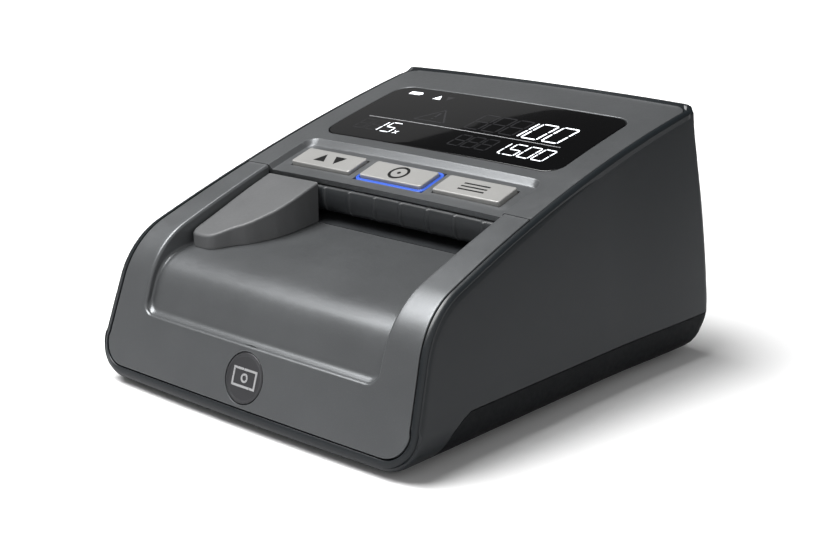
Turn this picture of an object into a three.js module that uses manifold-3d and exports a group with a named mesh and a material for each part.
// Banknote counting machine, desktop size. Millimetres, +Z up, +X to the right seen from the
// front, +Y towards the back. Origin on the table under the middle of the machine.
import * as THREE from 'three';
import { mergeVertices } from 'three/addons/utils/BufferGeometryUtils.js';
import Module from 'manifold-3d';

const wasm = await Module();
wasm.setup();

// ---------------------------------------------------------------- driving dimensions
const SIDE_HALF = 62.3;     // nominal half width of the side wall at floor level
const LEAN = 0.10;          // side wall lean, mm inward per mm of height
const REAR_FLARE = 1.3;     // extra half width towards the back
const RIM = 2.8;            // rounded rim between the panels and the side wall
const WALL = 2.4;           // wall of the housings
const PANEL = 2.2;          // wall of the painted panels
const GAP = 0.3;            // gap between neighbouring pieces
const FLOOR_Z = 1.8;        // underside of the base, feet reach down to 0
const BELLY_R = 11;         // radius of the tucked-under lower side edge
const PART_Z = 14;          // parting line between base and housing
const SEAM_Y = -11.4;       // seam between lower front cover and upper cover
const HINGE = [62.0, 73.0]; // cover hinge axis (y, z)
const PATH_Y0 = -12;        // front end of the note path plane
const PATH_Z0 = 43.2;       // height of the plane there
const PATH_SLOPE = 0.10;
const FACETS = 24;          // default facets of round parts
const MIDDLE_Y = 2.25;      // middle of the outline below, moved to the origin

// outer outline of the painted panels, front to back (y, z)
const PROFILE = [
  [-66.5, 5.33], [-58.7, 30.0], [-57.8, 32.5], [-56.6, 34.8], [-55.1, 37.0], [-53.4, 39.0],
  [-51.5, 40.9], [-49.4, 42.5], [-47.1, 43.8], [-44.7, 44.9], [-37.1, 47.8], [-29.5, 50.5],
  [-21.8, 53.2], [-11.4, 56.63], [-6.4, 58.2], [1.4, 60.6], [9.2, 62.9], [17.0, 65.0],
  [24.8, 67.1], [32.7, 69.0], [40.6, 70.9], [48.5, 72.7], [56.5, 74.3], [64.5, 75.9],
];
// rear wall from the top down, and the lip below the front face (y, z)
const REAR = [
  [65.9, 75.5], [66.8, 72], [68.0, 66], [69.1, 57], [70.3, 45], [71, 32], [71, 12],
  [70.2, 8], [67.8, 4.4], [64, 2.3], [60, FLOOR_Z],
];
const LIP = [[-61.5, FLOOR_Z], [-64.4, 2.2], [-66.1, 3.4]];
const OUTER = [...LIP, ...PROFILE, ...REAR];

// half width of the painted panels: leans and curves inward with height, waisted mid-length
const FIT = { base: 61.104, lean: 0.0671, curve: 0.0005, waist: 1.2552, endY: 68.05, taper: 0.0236 };
const panelHalf = (y, z) => FIT.base - FIT.lean * z - FIT.curve * z * z
  - FIT.waist * (1 - (y / FIT.endY) ** 2) + FIT.taper * y;

function smooth(t) {
  const s = Math.min(1, Math.max(0, t));
  return s * s * (3 - 2 * s);
}
const sideHalf = (y, z) => SIDE_HALF - LEAN * z + REAR_FLARE * smooth((y - 20) / 45);
const pathZ = y => PATH_Z0 + PATH_SLOPE * (y - PATH_Y0);

// ---------------------------------------------------------------- finishes
// colour, roughness (0 gloss to 1 matt) and metalness of each surface
const DARK = 0x2b2f32;
const BLACK = 0x15171a;
const STEEL = 0xb9bcbf;
const RUBBER = 0x1b1b1c;
const FINISH = {
  paint: { color: 0x75787a, roughness: 0.45, metalness: 0.1 },
  housing: { color: DARK, roughness: 0.5 },
  guidePlate: { color: DARK, roughness: 0.4 },
  base: { color: BLACK, roughness: 0.6 },
  sensor: { color: BLACK, roughness: 0.3 },
  jack: { color: BLACK, roughness: 0.5 },
  foot: { color: RUBBER, roughness: 0.9 },
  roller: { color: RUBBER, roughness: 0.85 },
  pinchRoller: { color: RUBBER, roughness: 0.8 },
  steel: { color: STEEL, roughness: 0.3, metalness: 1 },
  head: { color: STEEL, roughness: 0.35, metalness: 1 },
  frame: { color: STEEL, roughness: 0.45, metalness: 0.8 },
  shaft: { color: STEEL, roughness: 0.25, metalness: 1 },
  battery: { color: 0x3a5f8a, roughness: 0.5 },
  badge: { color: 0x303336, roughness: 0.35, metalness: 0.3 },
  noteGuide: { color: 0x6b6e70, roughness: 0.5 },
  window: { color: 0x050607, roughness: 0.08 },
  display: { color: 0x1c2022, roughness: 0.6 },
  key: { color: 0xc6c5c1, roughness: 0.35, metalness: 0.2 },
  lightGuide: { color: 0x3f62ff, roughness: 0.2 },
  keypadMat: { color: 0x8d9093, roughness: 0.85 },
  board: { color: 0x1f5a35, roughness: 0.5 },
  visor: { color: 0x3a3d40, roughness: 0.5 },
  bearing: { color: 0xa08a5a, roughness: 0.4, metalness: 0.6 },
  nylon: { color: 0xd8d5c8, roughness: 0.5 },
  pinion: { color: 0xb59a55, roughness: 0.4, metalness: 0.8 },
  motor: { color: 0x9a9da0, roughness: 0.35, metalness: 0.9 },
  cable: { color: 0xd9d4c4, roughness: 0.6 },
};

// ---------------------------------------------------------------- outlines
const minus = (p, q) => p.map((value, k) => value - q[k]);
const distance = (p, q) => Math.hypot(...minus(p, q));
const around = (list, i) => list[(i + list.length) % list.length];

// height of a (y, z) polyline at y, its end pieces carried on
function heightAt(line, y) {
  const found = line.findIndex((p, i) => i > 0 && y <= p[0]);
  const i = found < 0 ? line.length - 1 : found;
  const [a, b] = [line[i - 1], line[i]];
  return a[1] + (b[1] - a[1]) * (y - a[0]) / (b[0] - a[0]);
}
const profileAt = y => heightAt(PROFILE, y);

// the profile between two y values, moved inward along its normal
function slice(y0, y1, depth) {
  const inside = PROFILE.filter(p => p[0] > y0 + 0.4 && p[0] < y1 - 0.4);
  const line = [[y0, profileAt(y0)], ...inside, [y1, profileAt(y1)]];
  return line.map((p, i) => {
    const run = minus(line[Math.min(line.length - 1, i + 1)], line[Math.max(0, i - 1)]);
    const length = Math.hypot(...run);
    return [p[0] + depth * run[1] / length, p[1] - depth * run[0] / length];
  });
}
const band = (y0, y1, depth0, depth1) => [...slice(y0, y1, depth0), ...slice(y0, y1, depth1).reverse()];

// closed polygon of either winding, moved inward
function insetRaw(polygon, depth) {
  const area = polygon.reduce((sum, p, i) => {
    const q = around(polygon, i + 1);
    return sum + p[0] * q[1] - q[0] * p[1];
  }, 0);
  const turn = area > 0 ? 1 : -1;
  const normal = (from, to) => {
    const run = minus(to, from);
    const length = Math.hypot(...run);
    return [-turn * run[1] / length, turn * run[0] / length];
  };
  return polygon.map((p, i) => {
    const n = normal(around(polygon, i - 1), p);
    const m = normal(p, around(polygon, i + 1));
    const sum = [n[0] + m[0], n[1] + m[1]];
    const square = sum[0] * sum[0] + sum[1] * sum[1];
    return [p[0] + 2 * depth * sum[0] / square, p[1] + 2 * depth * sum[1] / square];
  });
}
function segmentDistance(p, a, b) {
  const u = minus(b, a);
  const along = ((p[0] - a[0]) * u[0] + (p[1] - a[1]) * u[1]) / (u[0] ** 2 + u[1] ** 2);
  const t = Math.min(1, Math.max(0, along));
  return Math.hypot(p[0] - a[0] - t * u[0], p[1] - a[1] - t * u[1]);
}
// the same, without the points that crossed over at tight corners
const inset = (polygon, depth) => insetRaw(polygon, depth).filter(p =>
  polygon.every((a, i) => segmentDistance(p, a, around(polygon, i + 1)) > depth * 0.97));

// false for points on a straight run, which would split the wall but not the cap
function bends(p, i, all) {
  const u = minus(p, around(all, i - 1));
  const v = minus(around(all, i + 1), p);
  const [lengthU, lengthV] = [Math.hypot(...u), Math.hypot(...v)];
  return Math.abs(u[0] * v[1] - u[1] * v[0]) > 1e-5 * lengthU * lengthV && lengthV > 1e-4;
}
function roundRect(width, height, r, steps = 4, [cx, cy] = [0, 0]) {
  const outline = [];
  for (const [sx, sy, start] of [[1, 1, 0], [-1, 1, 90], [-1, -1, 180], [1, -1, 270]]) {
    for (let i = 0; i <= steps; i++) {
      const a = (start + 90 * i / steps) * Math.PI / 180;
      outline.push([
        cx + sx * (width / 2 - r) + r * Math.cos(a),
        cy + sy * (height / 2 - r) + r * Math.sin(a),
      ]);
    }
  }
  return outline;
}
// two points mirrored in x at the front, two at the back
const fourAt = (x, front, back) => [[x, front], [-x, front], [x, back], [-x, back]];

// ---------------------------------------------------------------- basic shapes
function alongZ(outline, z0, z1, steps = 1) {
  const shape = new THREE.Shape(outline.filter(bends).map(p => new THREE.Vector2(...p)));
  const options = { depth: z1 - z0, steps, bevelEnabled: false };
  return new THREE.ExtrudeGeometry(shape, options).translate(0, 0, z0);
}
const basis = (...axes) => new THREE.Matrix4().makeBasis(...axes.map(a => new THREE.Vector3(...a)));
// outline in (y, z), running from x0 to x1
const alongX = (outline, x0, x1, steps) => alongZ(outline, 0, x1 - x0, steps)
  .applyMatrix4(basis([0, 1, 0], [0, 0, 1], [1, 0, 0])).translate(x0, 0, 0);
const acrossX = (outline, half) => alongX(outline, -half, half);
// outline in (x, z), running from y0 to y1
const alongY = (outline, y0, y1, steps) => alongZ(outline, 0, y1 - y0, steps)
  .applyMatrix4(basis([1, 0, 0], [0, 0, 1], [0, -1, 0])).translate(0, y1, 0);
const box = (x0, x1, y0, y1, z0, z1) => new THREE.BoxGeometry(x1 - x0, y1 - y0, z1 - z0)
  .translate((x0 + x1) / 2, (y0 + y1) / 2, (z0 + z1) / 2);
const cylX = (r, x0, x1, [y, z], facets = FACETS) =>
  new THREE.CylinderGeometry(r, r, x1 - x0, facets)
    .rotateZ(-Math.PI / 2).translate((x0 + x1) / 2, y, z);
const cylZ = (r, z0, z1, [x, y], facets = FACETS) =>
  new THREE.CylinderGeometry(r, r, z1 - z0, facets)
    .rotateX(Math.PI / 2).translate(x, y, (z0 + z1) / 2);
const lathe = (points, facets) =>
  new THREE.LatheGeometry(points.map(p => new THREE.Vector2(...p)), facets);

// moves every vertex, keeps the faces
function warp(geometry, move) {
  const p = geometry.attributes.position;
  for (let i = 0; i < p.count; i++) p.setXYZ(i, ...move(p.getX(i), p.getY(i), p.getZ(i)));
  return geometry;
}
// (y, z) section as wide as the painted panels
const panelWide = (section, extra = 0) => warp(acrossX(section, 1),
  (x, y, z) => [x * (panelHalf(y, z) + extra), y, z]);

// ---------------------------------------------------------------- solids and meshes
const WELD = 1e-4;          // vertices closer than this become one
const SHORT_EDGE = 0.03;    // edges up to this length are collapsed
const NEEDLE = 0.004;       // triangles no higher than this are needles

// positions only, coincident vertices merged
function weld(geometry) {
  const bare = geometry.clone();
  for (const key of Object.keys(bare.attributes)) {
    if (key !== 'position') bare.deleteAttribute(key);
  }
  return mergeVertices(bare, WELD);
}
const trianglesOf = index =>
  Array.from({ length: index.length / 3 }, (_, i) => [...index.slice(3 * i, 3 * i + 3)]);
const hasArea = ([a, b, c]) => a !== b && b !== c && a !== c;

function toSolid(shape) {
  if (!shape.isBufferGeometry) return shape;
  const welded = weld(shape);
  return new wasm.Manifold(new wasm.Mesh({
    numProp: 3,
    vertProperties: new Float32Array(welded.attributes.position.array),
    triVerts: new Uint32Array(trianglesOf(welded.index.array).filter(hasArea).flat()),
  }));
}
const join = (...shapes) => shapes.map(toSolid).reduce((a, b) => a.add(b));
const cut = (...shapes) => shapes.map(toSolid).reduce((a, b) => a.subtract(b));
const both = (a, b) => toSolid(a).intersect(toSolid(b));
// shape spanning x0 to x1 with a bore right through
const bored = (shape, x0, x1, r, centre, facets) =>
  cut(shape, cylX(r, x0 - 1, x1 + 1, centre, facets));

// pulls together the ends of edges that a cut left very short
function collapseShortEdges(points, start) {
  const mergedTo = points.map((_, i) => i);
  const root = vertex => {
    let v = vertex;
    while (mergedTo[v] !== v) v = mergedTo[v];
    return v;
  };
  let triangles = start;
  const neighbours = vertex =>
    new Set(triangles.map(t => t.map(root)).filter(t => t.includes(vertex)).flat());
  for (let pass = 0; pass < 6; pass++) {
    let merges = 0;
    for (const t of triangles) {
      for (let k = 0; k < 3; k++) {
        const [a, b] = [root(t[k]), root(t[(k + 1) % 3])];
        if (a === b || distance(points[a], points[b]) > SHORT_EDGE) continue;
        const nearA = neighbours(a);
        const shared = [...neighbours(b)].filter(v => v !== a && v !== b && nearA.has(v));
        if (shared.length !== 2) continue;
        mergedTo[b] = a;
        merges++;
      }
    }
    triangles = triangles.map(t => t.map(root)).filter(hasArea);
    if (!merges) break;
  }
  return triangles;
}
// a needle with no short side: swaps its long side for the other diagonal, in place
function swapNeedles(points, triangles) {
  for (let pass = 0; pass < 8; pass++) {
    const owner = new Map();   // directed edge to the triangle it belongs to
    triangles.forEach((t, i) => t.forEach((v, k) => owner.set(`${v}_${t[(k + 1) % 3]}`, i)));
    const touched = new Set();
    let swaps = 0;
    for (let i = 0; i < triangles.length; i++) {
      const t = triangles[i];
      const lengths = t.map((v, k) => distance(points[v], points[t[(k + 1) % 3]]));
      const k = lengths.indexOf(Math.max(...lengths));
      const [a, b, c] = [t[k], t[(k + 1) % 3], t[(k + 2) % 3]];
      const u = minus(points[b], points[a]);
      const w = minus(points[c], points[a]);
      const cross = [u[1] * w[2] - u[2] * w[1], u[2] * w[0] - u[0] * w[2], u[0] * w[1] - u[1] * w[0]];
      if (Math.hypot(...cross) / lengths[k] > NEEDLE) continue;
      const j = owner.get(`${b}_${a}`);
      if (j === undefined || touched.has(i) || touched.has(j)) continue;
      const d = triangles[j].find(v => v !== a && v !== b);
      if (owner.has(`${c}_${d}`) || owner.has(`${d}_${c}`)) continue;
      triangles[i] = [a, d, c];
      triangles[j] = [d, b, c];
      swaps++;
      triangles.forEach((other, q) => {
        if (other.some(v => [a, b, c, d].includes(v))) touched.add(q);
      });
    }
    if (!swaps) break;
  }
}
function tidy(geometry) {
  const points = trianglesOf(geometry.attributes.position.array);   // three numbers a vertex
  const triangles = collapseShortEdges(points, trianglesOf(geometry.index.array));
  swapNeedles(points, triangles);
  geometry.setIndex(triangles.flat());
  return mergeVertices(geometry, WELD);
}
function toGeometry(shape) {
  if (shape.isBufferGeometry) return weld(shape);
  const mesh = shape.getMesh();
  const geometry = new THREE.BufferGeometry();
  const vertices = new Float32Array(mesh.vertProperties);
  geometry.setAttribute('position', new THREE.BufferAttribute(vertices, 3));
  geometry.setIndex(new THREE.BufferAttribute(new Uint32Array(mesh.triVerts), 1));
  return tidy(mergeVertices(geometry, WELD));
}

const machine = new THREE.Group();
machine.position.y = -MIDDLE_Y;
function add(name, shape, finish) {
  const geometry = toGeometry(shape);
  geometry.computeVertexNormals();
  const mesh = new THREE.Mesh(geometry, new THREE.MeshStandardMaterial({ metalness: 0, ...finish }));
  mesh.name = name;
  machine.add(mesh);
}

// ---------------------------------------------------------------- outer body and inner cavity
// (x, z) section, open upward, with round lower corners
function sideSection(half, bottom, r) {
  const steps = 5;
  const right = [];
  for (let i = 0; i <= steps; i++) {
    const a = Math.PI / 2 * i / steps;
    right.push([half - r + r * Math.sin(a), bottom + r - r * Math.cos(a)]);
  }
  right.push([half, 90]);
  return [...right, ...right.map(([x, z]) => [-x, z]).reverse()];
}
// the body moved inward by depth, its top edges rounded over the rim width
function bodySolid(depth, rim) {
  const half = SIDE_HALF - depth;
  const toSides = (x, y, z) => [x * (sideHalf(y, z) - depth) / half, y, z];
  const leftStations = (rim ? [0, 0.12, 0.45, 1] : [0]).map(t => -1 + t * rim / half);
  const stations = [...leftStations, ...leftStations.map(v => -v).reverse()];
  const points = (depth ? inset(OUTER, depth) : OUTER).filter(bends);
  const deeper = insetRaw(points, 1);
  const steps = stations.length - 1;
  const lengthwise = warp(alongX(points, 0, steps, steps), (x, y, z) => {
    const station = stations[Math.round(x)];
    const u = Math.max(0, Math.abs(station) * half - (half - rim));
    const drop = 0.85 * (rim - Math.sqrt(Math.max(0, rim * rim - u * u)));
    const distances = points.map(p => distance(p, [y, z]));
    const i = distances.indexOf(Math.min(...distances));
    const inward = minus(deeper[i], points[i]);
    return [station * half, y + drop * inward[0], z + drop * inward[1]];
  });
  const crosswise = alongY(sideSection(half, FLOOR_Z + depth, BELLY_R - depth), -80, 80, 8);
  return both(warp(lengthwise, toSides), warp(crosswise, toSides));
}
const outer = bodySolid(0, RIM);
const cavity = bodySolid(WALL, 0);

// ---------------------------------------------------------------- main housing
// side walls, rear wall, rim and front lip
const JACK = { x: [28, 40], z: [18, 28] };
const PORT = { x: [12, 22], z: [20, 25] };
const socketBox = ({ x, z }, y0, y1, margin = 0) =>
  box(x[0] - margin, x[1] + margin, y0, y1, z[0] - margin, z[1] + margin);

function mainHousing() {
  // room for the painted panels inside the rim
  const pocket = join(panelWide(band(-66.6, 64.5, -3, PANEL + 2.0), GAP),
    box(-54.9, 54.9, 57, 65.2, 70.5, 80));
  const upTo = PART_Z + 0.15;
  const baseSpace = [[-59, -5], [-56.6, 1.0], [-50.55, 10.2], [-43.1, upTo], [90, upTo], [90, -5]];
  const exitZ = pathZ(70);
  return cut(outer, cavity, pocket, acrossX(baseSpace, 80),
    box(-47, 47, 60, 80, exitZ - 2.4, exitZ + 2.6),   // rear note slot
    socketBox(JACK, 60, 80, GAP),
    socketBox(PORT, 60, 80, GAP),
    cylX(1.15, -55.7, 55.7, HINGE));
}
add('main_housing', mainHousing(), FINISH.housing);

// ---------------------------------------------------------------- base
const FEET = fourAt(43, -47.5, 57);
const SCREWS = fourAt(46, -36, 43);

function baseHousing() {
  const upTo = PART_Z - 0.15;
  const region = [[-58, -5], [-56.2, 1.0], [-50.2, 10], [-43, upTo], [90, upTo], [90, -5]];
  const shell = cut(both(outer, acrossX(region, 80)), cavity);
  return cut(join(shell, ...SCREWS.map(at => cylZ(3.4, 3.0, 12, at, 16))),
    ...FEET.map(at => cylZ(5.3, 0, 2.9, at)),
    ...SCREWS.flatMap(at => [cylZ(1.55, 0, 20, at, 16), cylZ(3.1, 0, 2.9, at, 16)]),
    box(-33.3, 33.3, 27.5, 53.3, 0, 3.5),   // door recess with room to slide forward
    box(-29, 29, 36, 50, 0, 6));
}
add('base_housing', baseHousing(), FINISH.base);
FEET.forEach((at, i) => add('foot_' + (i + 1), cylZ(5, 0, 2.6, at, 20), FINISH.foot));

// screw with a recessed head at its lower end (radius, z)
const SCREW_OUTLINE = [
  [0, 2.15], [1.0, 2.15], [1.0, 2.0], [2.7, 2.0], [2.7, 2.8], [1.25, 2.8], [1.25, 11], [0, 11.6],
];
SCREWS.forEach(([x, y], i) => add('housing_screw_' + (i + 1),
  lathe(SCREW_OUTLINE, 12).rotateX(Math.PI / 2).translate(x, y, 0), FINISH.steel));
add('battery_door', join(box(-33, 33, 33, 53, 2.0, 3.2), box(-8, 8, 36, 37.2, 1.85, 2.5)),
  FINISH.base);
add('battery_pack', acrossX(roundRect(15, 13.5, 2, 3, [43.5, 13.2]), 27), FINISH.battery);

// ---------------------------------------------------------------- lower front cover with tray
const TRAY_HALF = 45.15;    // half width of the tray between the side strips
const LEDGE_Z = 21.9;       // lower ledge of the tray on the front face
const BADGE_Z = 13.3;
const BADGE_R = 7.09;

// upper face of the tray, front to back (y, z)
const TRAY_CURVE = [[-57.2, 27.3], [-54.8, 34.9], [-51.9, 37.15], [-44, 38.2]];
const trayCurve = new THREE.CubicBezierCurve(...TRAY_CURVE.map(p => new THREE.Vector2(...p)));
const trayTop = [
  [-60.9, LEDGE_Z], [-58.9, 22.6], ...trayCurve.getPoints(7).map(p => [p.x, p.y]),
  [-28, 40.4], [PATH_Y0, PATH_Z0 - 0.6],
];
// disc on the front face, depths measured inward from the surface
function badgeDisc(r, depth0, depth1) {
  const [[faceY, faceZ], faceEnd] = PROFILE;
  const [run, rise] = minus(faceEnd, [faceY, faceZ]);
  const angle = Math.atan2(run, rise);
  const [c, s] = [Math.cos(angle), Math.sin(angle)];
  return new THREE.CylinderGeometry(r, r, depth1 - depth0, 32)
    .translate(0, (depth0 + depth1) / 2, 0)
    .applyMatrix4(basis([1, 0, 0], [0, c, -s], [0, s, c]))
    .translate(0, faceY + (BADGE_Z - faceZ) * run / rise, BADGE_Z);
}
function lowerFrontCover() {
  const endY = SEAM_Y - GAP / 2;
  // the first six points below the curve step back and thicken gradually
  const trayUnder = trayTop.slice(2).map(([y, z], i) =>
    (i < 6 ? [y + 1.5 - i * 0.2, z - (0.6 + i * 0.25)] : [y, z - 2.0])).reverse();
  const tray = [...trayTop, ...trayUnder, [-57.3, 19.8], [-59.9, 19.2]];
  const cheek = [...slice(-61.2, endY, 0), ...trayUnder, [-57.3, 21.5]];
  const opening = [[-75, LEDGE_Z], [0, LEDGE_Z], [0, 80], [-75, 80]];
  const cover = join(
    cut(panelWide(band(-66.4, endY, 0, PANEL)), acrossX(opening, TRAY_HALF)),
    acrossX(tray, TRAY_HALF + 1.6),
    alongX(cheek, TRAY_HALF, TRAY_HALF + 1.7),
    alongX(cheek, -TRAY_HALF - 1.7, -TRAY_HALF));
  // lower corners of the front face are round, parallel to the rim
  const nominalHalf = 60;
  const corners = warp(alongY(sideSection(nominalHalf, 5.3, 7.5), -80, 20), (x, y, z) =>
    [x * (panelHalf(Math.max(y, -67), z) + 0.02) / nominalHalf, y, z]);
  return both(cut(cover, badgeDisc(BADGE_R + GAP, -3, 1.3)), corners);
}
add('lower_front_cover', lowerFrontCover(), FINISH.paint);
add('badge_disc', badgeDisc(BADGE_R, 0.2, 1.0), FINISH.badge);

// note guide on the left of the tray, plan (x, y)
const GUIDE_PLAN = [
  [-44.8, -14.4], [-44.8, -40], [-43.9, -43.2], [-41, -43.9], [-37.3, -43.7], [-35.5, -43.0],
  [-32.7, -38.9], [-29.7, -35.8], [-27.1, -31.4], [-25.2, -27.5], [-24.2, -23], [-23.8, -19.2],
  [-23.8, -14.4],
];
function noteGuide() {
  const underside = [-11.6, -20, -28, -36, -40, -44, -46]
    .map(y => [y, heightAt(trayTop, Math.min(y, PATH_Y0)) + GAP]);
  const section = [...slice(-46, -11.6, 3.0), ...underside];
  return both(alongZ(GUIDE_PLAN, 30, 60), alongX(section, -50, 0));
}
add('note_guide', noteGuide(), FINISH.noteGuide);

// ---------------------------------------------------------------- upper cover
const KEY_TILT = Math.atan2(2.63, 8.59);
const KEY_CENTRE = [-2.665, 59.36];   // middle of the key row on the slope (y, z)
const KEY_LENGTH = 8.98;              // key size up the slope
const POWER_HALF = 11.92;
const KEYS = {                        // x range of each key
  arrow_key: [-39.98, -16.06],
  power_key: [-POWER_HALF, POWER_HALF],
  function_key: [16.06, 39.98],
};
const TROUGH = 1.6;                   // depth of the trough the keys stand in
const TROUGH_PLAN = [[-44, -20], [44, -20], [44, 7], [41, 10], [-41, 10], [-44, 7]];
const WINDOW_Y = [11.69, 49.82];
const WINDOW_HALF = 44.7;

// from the frame of the key slope: x across, y up the slope, z outward
const slopeFrame = new THREE.Matrix4().makeTranslation(0, ...KEY_CENTRE)
  .multiply(new THREE.Matrix4().makeRotationX(KEY_TILT));
const onSlope = geometry => geometry.applyMatrix4(slopeFrame);

function keyOpening([x0, x1], margin) {
  const size = [x1 - x0 + 2 * margin, KEY_LENGTH + 2 * margin];
  return onSlope(alongZ(roundRect(...size, 0.8 + margin, 3, [(x0 + x1) / 2, 0]), -8, 6));
}
// window outline grown by margin, between two depths below the surface
function windowSlab(bandMargin, depth0, depth1, margin, r) {
  const [y0, y1] = WINDOW_Y;
  const slab = band(y0 - bandMargin - 0.6, y1 + bandMargin + 0.9, depth0, depth1);
  const size = [2 * (WINDOW_HALF + margin), y1 - y0 + 2 * margin];
  const plan = roundRect(...size, r, 4, [0, (y0 + y1) / 2]);
  return both(acrossX(slab, WINDOW_HALF + 2), alongZ(plan, 40, 90));
}
function upperCover() {
  const startY = SEAM_Y + GAP / 2;
  const rearNose = [[63.4, 75.35], [64.1, 74.8], [64.4, 74.0]];
  const inner = [[64.4, 73.4], ...slice(9.8, 63.5, PANEL).reverse(), ...slice(startY, 9.2, 3.7).reverse()];
  const plate = cut(panelWide([...slice(startY, 62.3, 0), ...rearNose, ...inner]),
    onSlope(alongZ(TROUGH_PLAN, -TROUGH, 6)),
    keyOpening(KEYS.arrow_key, GAP),
    keyOpening(KEYS.function_key, GAP),
    keyOpening(KEYS.power_key, 1.8),
    windowSlab(0.5, -3, 1.7, GAP, 5.5),
    box(-41.5, 41.5, 14.5, 46.5, 50, 80));
  const barrels = [[49.8, 54.2], [-54.2, -49.8]].map(span => cylX(2.0, ...span, HINGE));
  // keeps the barrels inside the painted surface
  const envelope = [...slice(-12, 62.3, 0), ...rearNose, [64.4, 40], [-12, 40]];
  return cut(both(join(plate, ...barrels), panelWide(envelope)), cylX(1.15, -60, 60, HINGE));
}
add('upper_cover', upperCover(), FINISH.paint);
add('hinge_pin_left', cylX(1.0, -55.4, -50.0, HINGE, 16), FINISH.steel);
add('hinge_pin_right', cylX(1.0, 50.0, 55.4, HINGE, 16), FINISH.steel);
add('display_window', windowSlab(0, 0.05, 1.4, 0, 5.2), FINISH.window);
const displayFrame = new THREE.Matrix4().makeTranslation(0, 30.5, 68.5)
  .multiply(new THREE.Matrix4().makeRotationX(Math.atan2(6.9, 31.4)));
add('display_module', box(-40.8, 40.8, -15.2, 15.2, -5.4, -2.1).applyMatrix4(displayFrame),
  FINISH.display);

// key: cap with a smaller stem below it
function key([x0, x1]) {
  const centre = [(x0 + x1) / 2, 0];
  const cap = alongZ(roundRect(x1 - x0, KEY_LENGTH, 0.9, 3, centre), -3.4, 0.14);
  const stem = alongZ(roundRect(8, 5, 0.8, 2, centre), -5.6, -3.3);
  return onSlope(toGeometry(join(cap, stem)));
}
for (const [name, span] of Object.entries(KEYS)) add(name, key(span), FINISH.key);

// ring around the power key
function lightGuide() {
  const ring = (extra, r) => roundRect(2 * POWER_HALF + extra, KEY_LENGTH + extra, r);
  return onSlope(toGeometry(cut(alongZ(ring(3.0, 2.2), -2.9, -1.1), alongZ(ring(0.7, 1.2), -5, 2))));
}
add('light_guide', lightGuide(), FINISH.lightGuide);
add('keypad_mat', onSlope(box(-41, 41, -5.2, 5.0, -7.6, -6.6)), FINISH.keypadMat);
add('key_board', onSlope(box(-42, 42, -5.4, 4.8, -9.3, -7.8)), FINISH.board);

// visor under the front edge of the cover, with upright ribs on its front (y, z)
const VISOR = [
  [-10.9, 53.0], [-11.9, 52.2], [-12.0, 50.2], [-11.2, 48.2], [-9.8, 46.6], [-8.0, 45.5],
  [-6.8, 45.4], [-6.4, 46.6], [-8.2, 47.9], [-9.4, 49.6], [-9.9, 51.2], [-9.6, 52.4],
];
const VISOR_RIB = [
  [-12.0, 52.2], [-12.45, 51.9], [-12.4, 50], [-11.6, 47.9], [-10.2, 46.2], [-9.6, 46.9], [-11, 50],
];
const ribX = Array.from({ length: 7 }, (_, i) => -22 + i * 10);
add('visor', join(acrossX(VISOR, 44.6), ...ribX.map(x => alongX(VISOR_RIB, x - 0.4, x + 0.4))),
  FINISH.visor);

// ---------------------------------------------------------------- note path
const ROLLER_R = 7;
const PINCH_R = 4.5;
const SHAFT_R = 2.0;
const ROLLER_X = [16.5, 27.5];        // x range of a roller, mirrored on the left
const SENSOR_Y = [21, 33];
const SENSOR_HALF = 42;
const HEAD_Y = [37, 42];
const HEAD_HALF = 8;

// centres (y, z) of a driven shaft and of the pinch shaft above it
const shaftPair = y => ({
  y,
  drive: [y, pathZ(y) - ROLLER_R + 0.15],
  pinch: [y, pathZ(y) + 0.45 + PINCH_R],
});
const SHAFTS = { feed: shaftPair(9), exit: shaftPair(49) };

// strip between two heights measured from the note path
const pathBand = (y0, y1, h0, h1) =>
  [[y0, pathZ(y0) + h0], [y1, pathZ(y1) + h0], [y1, pathZ(y1) + h1], [y0, pathZ(y0) + h1]];
const slot = (x0, x1, y0, y1) => box(x0, x1, y0, y1, 30, 60);
function rollerSlots({ y }, halfLength, margin) {
  const [x0, x1] = [ROLLER_X[0] - margin, ROLLER_X[1] + margin];
  return [[-x1, -x0], [x0, x1]].map(span => slot(...span, y - halfLength, y + halfLength));
}
const slotAround = (half, [y0, y1]) => slot(-half - 0.4, half + 0.4, y0 - 0.4, y1 + 0.4);

add('lower_guide_plate', cut(acrossX(pathBand(-11.5, 65, -2.0, -0.6), 46.8),
  ...rollerSlots(SHAFTS.feed, 7.2, 1),
  ...rollerSlots(SHAFTS.exit, 6.4, 1),
  slotAround(SENSOR_HALF, SENSOR_Y),
  slotAround(HEAD_HALF, HEAD_Y)), FINISH.guidePlate);

const onPath = (y, h) => [y, pathZ(y) + h];
const [sensorFront, sensorBack] = SENSOR_Y;
const [headFront, headBack] = HEAD_Y;
add('image_sensor', acrossX([
  [sensorFront, 38.5], [sensorBack, 38.5], onPath(sensorBack, -0.7), onPath(sensorFront, -0.7),
], SENSOR_HALF), FINISH.sensor);
add('magnetic_head', acrossX([
  [headFront, 40.5], [headBack, 40.5],
  onPath(headBack, -0.8), onPath((headFront + headBack) / 2, -0.35), onPath(headFront, -0.8),
], HEAD_HALF), FINISH.head);

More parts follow.
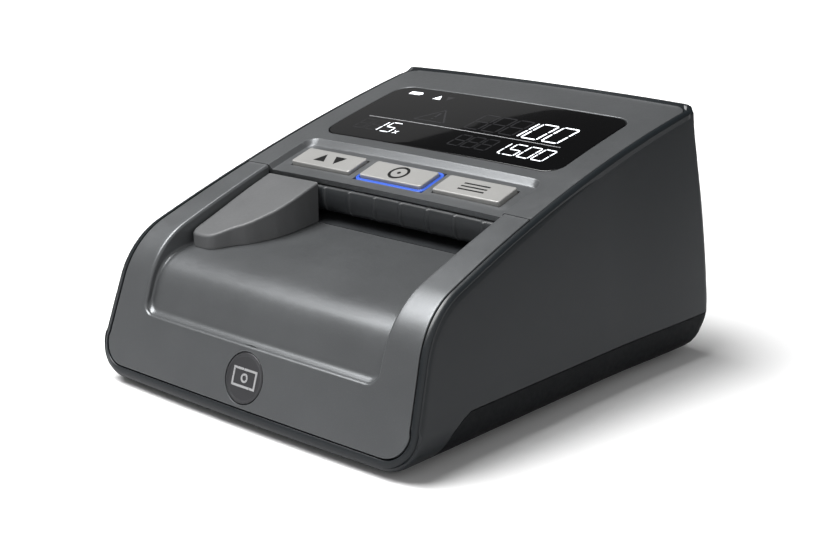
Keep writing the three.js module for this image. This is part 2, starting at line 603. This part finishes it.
function upperGuidePlate() {
  const plate = cut(acrossX(pathBand(-5.9, 60, 1.1, 2.5), 44.4),
    ...rollerSlots(SHAFTS.feed, 5.4, 0),
    ...rollerSlots(SHAFTS.exit, 5.2, 0),
    slotAround(SENSOR_HALF, SENSOR_Y));
  // ears that carry the pinch shafts
  const ears = Object.values(SHAFTS).flatMap(({ y, pinch }) => [-33, 31.6].map(x => {
    const ear = box(x, x + 1.4, y - 3, y + 3, pathZ(y) + 0.9, pinch[1] + 2.6);
    return bored(ear, x, x + 1.4, 1.62, pinch, 16);
  }));
  const posts = fourAt(40, 11, 54).map(([x, y]) => {
    const top = profileAt(y - 2) - (y < 20 ? 6.2 : 3.0);
    return box(x - 2, x + 2, y - 2, y + 2, pathZ(y) + 1.3, top);
  });
  return join(plate, ...ears, ...posts);
}
add('upper_guide_plate', upperGuidePlate(), FINISH.guidePlate);
add('upper_image_sensor', acrossX([
  onPath(sensorFront, 1.2), onPath(sensorBack, 1.2), [sensorBack, 55], [sensorFront, 55],
], SENSOR_HALF), FINISH.sensor);

// ---------------------------------------------------------------- gear train layout
// shaft gears, an idler between them, a pinion on the motor
const MOD = 1.0;            // gear module
const SHAFT_TEETH = 16;
const IDLER_TEETH = 24;
const PINION_TEETH = 12;
const MESH_PLAY = 0.15;     // added to each centre distance
const PINION_ANGLE = -112 * Math.PI / 180;   // direction from the idler, in (y, z)
const GEAR_X = [-54.4, -51.0];
// one tooth: place as a fraction of the pitch, height from the pitch circle in modules
const TOOTH = [
  [-0.5, -1.2], [-0.30, -1.2], [-0.215, -0.45], [-0.185, 0], [-0.085, 0.8],
  [0.085, 0.8], [0.185, 0], [0.215, -0.45], [0.30, -1.2],
];
const centreDistance = teeth => (teeth + IDLER_TEETH) / 2 * MOD + MESH_PLAY;

// the idler hangs below the line between the shafts, at equal distance from both
function idlerCentre() {
  const [feed, exit] = [SHAFTS.feed.drive, SHAFTS.exit.drive];
  const run = minus(exit, feed);
  const drop = Math.sqrt(centreDistance(SHAFT_TEETH) ** 2 - (Math.hypot(...run) / 2) ** 2);
  const angle = Math.atan2(run[1], run[0]);
  return [
    (feed[0] + exit[0]) / 2 + drop * Math.sin(angle),
    (feed[1] + exit[1]) / 2 - drop * Math.cos(angle),
  ];
}
const IDLER = idlerCentre();
const pinionDistance = centreDistance(PINION_TEETH);
const MOTOR = [
  IDLER[0] + pinionDistance * Math.cos(PINION_ANGLE),
  IDLER[1] + pinionDistance * Math.sin(PINION_ANGLE),
];
function gear(teeth, phase, centre, bore, facets) {
  const outline = [];
  for (let i = 0; i < teeth; i++) {
    for (const [place, height] of TOOTH) {
      const a = phase + (i + place) * 2 * Math.PI / teeth;
      const r = teeth * MOD / 2 + height * MOD;
      outline.push([centre[0] + r * Math.cos(a), centre[1] + r * Math.sin(a)]);
    }
  }
  return bored(alongX(outline, ...GEAR_X), ...GEAR_X, bore, centre, facets);
}
// turns a gear so that its teeth meet the idler's gaps; the idler stands at phase 0
function meshPhase(centre, teeth) {
  const [y, z] = minus(centre, IDLER);
  const angle = Math.atan2(z, y);
  return angle + Math.PI - (Math.PI - angle * IDLER_TEETH) / teeth;
}

// ---------------------------------------------------------------- transport drive
// side frames with a bearing for each driven shaft (y, z)
const FRAME = [[-6, 14.5], [56, 14.5], onPath(58, -2.4), onPath(-6, -2.4)];
for (const [side, x0, x1] of [['left', -50.2, -48.2], ['right', 48.2, 50.2]]) {
  const hole = (r, centre, facets) => cylX(r, x0 - 1, x1 + 1, centre, facets);
  const holes = Object.values(SHAFTS).map(({ drive }) => hole(4.65, drive));
  if (side === 'left') holes.push(hole(1.7, IDLER, 16), hole(4.0, MOTOR, 16));
  add('side_frame_' + side, cut(alongX(FRAME, x0, x1), ...holes), FINISH.frame);
  for (const [name, { drive }] of Object.entries(SHAFTS)) {
    const ring = cylX(4.5, x0 + 0.1, x1 - 0.1, drive);
    add(`bearing_${name}_${side}`, bored(ring, x0, x1, SHAFT_R + 0.12, drive), FINISH.bearing);
  }
}
for (const [name, { drive }] of Object.entries(SHAFTS)) {
  const bore = SHAFT_R + 0.1;
  const [inside, outside] = ROLLER_X;
  add(name + '_shaft', cylX(SHAFT_R, -55.0, 51.2, drive), FINISH.shaft);
  for (const [side, x0, x1] of [['left', -outside, -inside], ['right', inside, outside]]) {
    const roller = bored(cylX(ROLLER_R, x0, x1, drive, 32), x0, x1, bore, drive);
    add(`${name}_roller_${side}`, roller, FINISH.roller);
  }
  add(name + '_gear', gear(SHAFT_TEETH, meshPhase(drive, SHAFT_TEETH), drive, bore), FINISH.nylon);
}
add('idler_gear', gear(IDLER_TEETH, 0, IDLER, 1.65, 16), FINISH.nylon);
add('idler_pin', cylX(1.5, -55.0, -47.6, IDLER, 16), FINISH.steel);
add('motor_pinion', gear(PINION_TEETH, meshPhase(MOTOR, PINION_TEETH), MOTOR, 1.1, 16),
  FINISH.pinion);
add('drive_motor', join(
  cylX(10, -46, -14, MOTOR),
  cylX(3.2, -47.9, -45.9, MOTOR, 16),
  cylX(1.0, -54.9, -47, MOTOR, 16),
  cylX(3.0, -14.1, -12, MOTOR, 16)), FINISH.motor);

// pinch shafts carried by the upper guide plate, each with two rollers (radius, x)
const PINCH = [
  [0, -36], [1.5, -36], [1.5, -27], [PINCH_R, -27], [PINCH_R, -17], [1.5, -17],
  [1.5, 17], [PINCH_R, 17], [PINCH_R, 27], [1.5, 27], [1.5, 36], [0, 36],
];
// leaf spring above a pinch shaft (y, z from the shaft axis)
const SPRING = [
  [-6, 5.0], [-2, 2.2], [2, 2.2], [6, 5.0], [5.8, 5.4], [1.9, 2.6], [-1.9, 2.6], [-5.8, 5.4],
];
for (const [name, { pinch }] of Object.entries(SHAFTS)) {
  const roller = lathe(PINCH, FACETS).rotateZ(-Math.PI / 2).translate(0, ...pinch);
  add(`pinch_${name}_roller`, roller, FINISH.pinchRoller);
}
for (const [name, { pinch }] of Object.entries(SHAFTS)) {
  const outline = SPRING.map(([y, z]) => [pinch[0] + y, pinch[1] + z]);
  add('pinch_spring_' + name, acrossX(outline, 12), FINISH.steel);
}

// ---------------------------------------------------------------- electronics
add('main_board', box(-41, 41, -42, 6, 7.0, 8.6), FINISH.board);
// flat cable from the main board up to the lower sensor (y, z)
const CABLE = [
  [-4, 8.9], [6, 9.2], [22, 24], [27, 34], [27, 38.2],
  [26.4, 38.2], [26.4, 34.1], [21.6, 24.4], [5.7, 9.8], [-4, 9.5],
];
add('sensor_cable', alongX(CABLE, 8, 20), FINISH.cable);
const jackHole = new THREE.CylinderGeometry(3.2, 3.2, 8, 20).translate(34, 69, 23);
add('power_jack', cut(socketBox(JACK, 60, 70.6), jackHole), FINISH.jack);
add('data_port', cut(socketBox(PORT, 60, 70.6), box(13, 21, 64, 75, 20.9, 24.1)), FINISH.steel);

export default machine;
